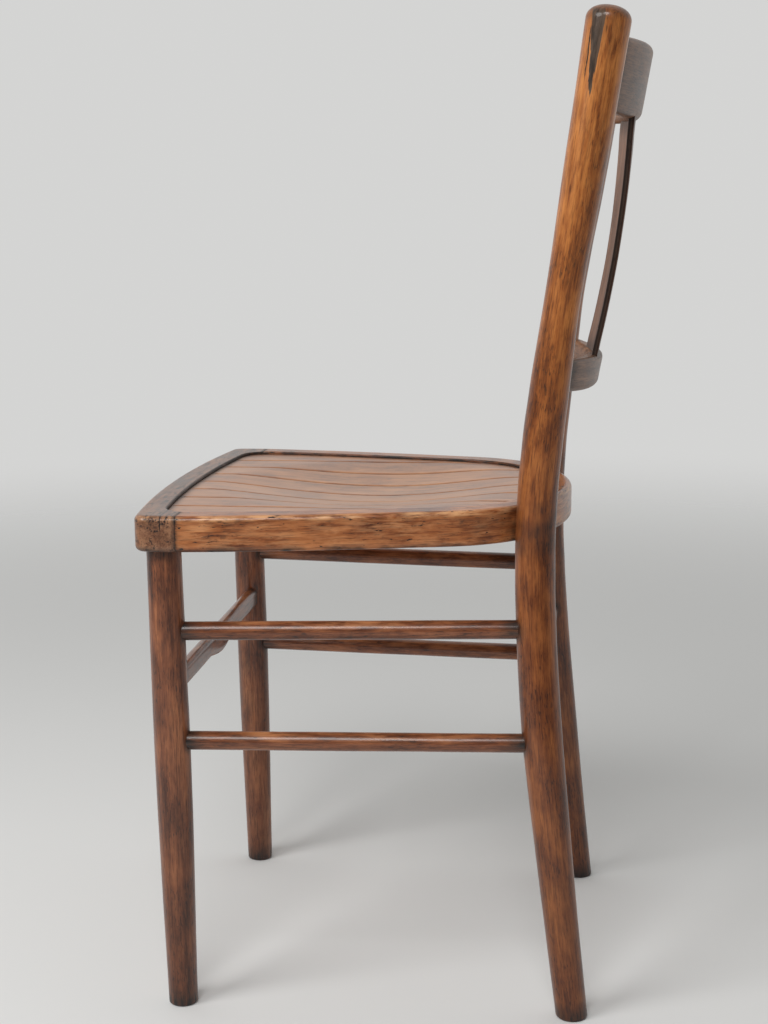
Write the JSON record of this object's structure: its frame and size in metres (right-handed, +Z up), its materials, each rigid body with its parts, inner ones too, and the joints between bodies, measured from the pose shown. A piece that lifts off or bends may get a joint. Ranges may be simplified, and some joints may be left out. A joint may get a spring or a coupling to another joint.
{
  "type": "bentwood desk chair",
  "caption": "Bentwood side chair with a horseshoe seat frame, grooved plywood seat, rail-and-splat back and round stretchers, for sitting at a student's desk.",
  "frame": {"origin": "on the floor, under the middle of the chair's footprint", "axes": "+Z up, +X towards the sitter's left, -Y the way the sitter faces"},
  "size_m": [0.4106, 0.455, 0.8819],
  "materials": {
    "post_wood": "stained beech under worn varnish",
    "leg_wood": "dark stained beech under worn varnish",
    "front_rail_wood": "dark stained beech, satin",
    "hoop_wood": "stained beech under worn varnish",
    "panel_plywood": "pressed plywood, waxed varnish",
    "dowel_wood": "bare beech",
    "back_rail_wood": "dark stained beech, satin",
    "splat_plywood": "stained plywood, satin",
    "fastener_steel": "dull, lightly rusted"
  },
  "bodies": {
    "root": {"rear_post_left": "post_wood", "rear_post_right": "post_wood", "front_leg_left": "leg_wood", "front_leg_right": "leg_wood", "front_stretcher": "leg_wood", "rear_stretcher": "leg_wood", "side_stretcher_upper_left": "leg_wood", "side_stretcher_upper_right": "leg_wood", "side_stretcher_lower_left": "leg_wood", "side_stretcher_lower_right": "leg_wood", "seat_front_rail": "front_rail_wood", "seat_hoop": "hoop_wood", "seat_panel": "panel_plywood", "seat_dowel_lower_left": "dowel_wood", "seat_dowel_lower_right": "dowel_wood", "seat_dowel_upper_left": "dowel_wood", "seat_dowel_upper_right": "dowel_wood", "crest_rail": "back_rail_wood", "lower_back_rail": "back_rail_wood", "back_splat": "splat_plywood", "post_screw_left": "fastener_steel", "post_screw_right": "fastener_steel", "post_washer_left": "fastener_steel", "post_washer_right": "fastener_steel"}
  },
  "joints": []
}
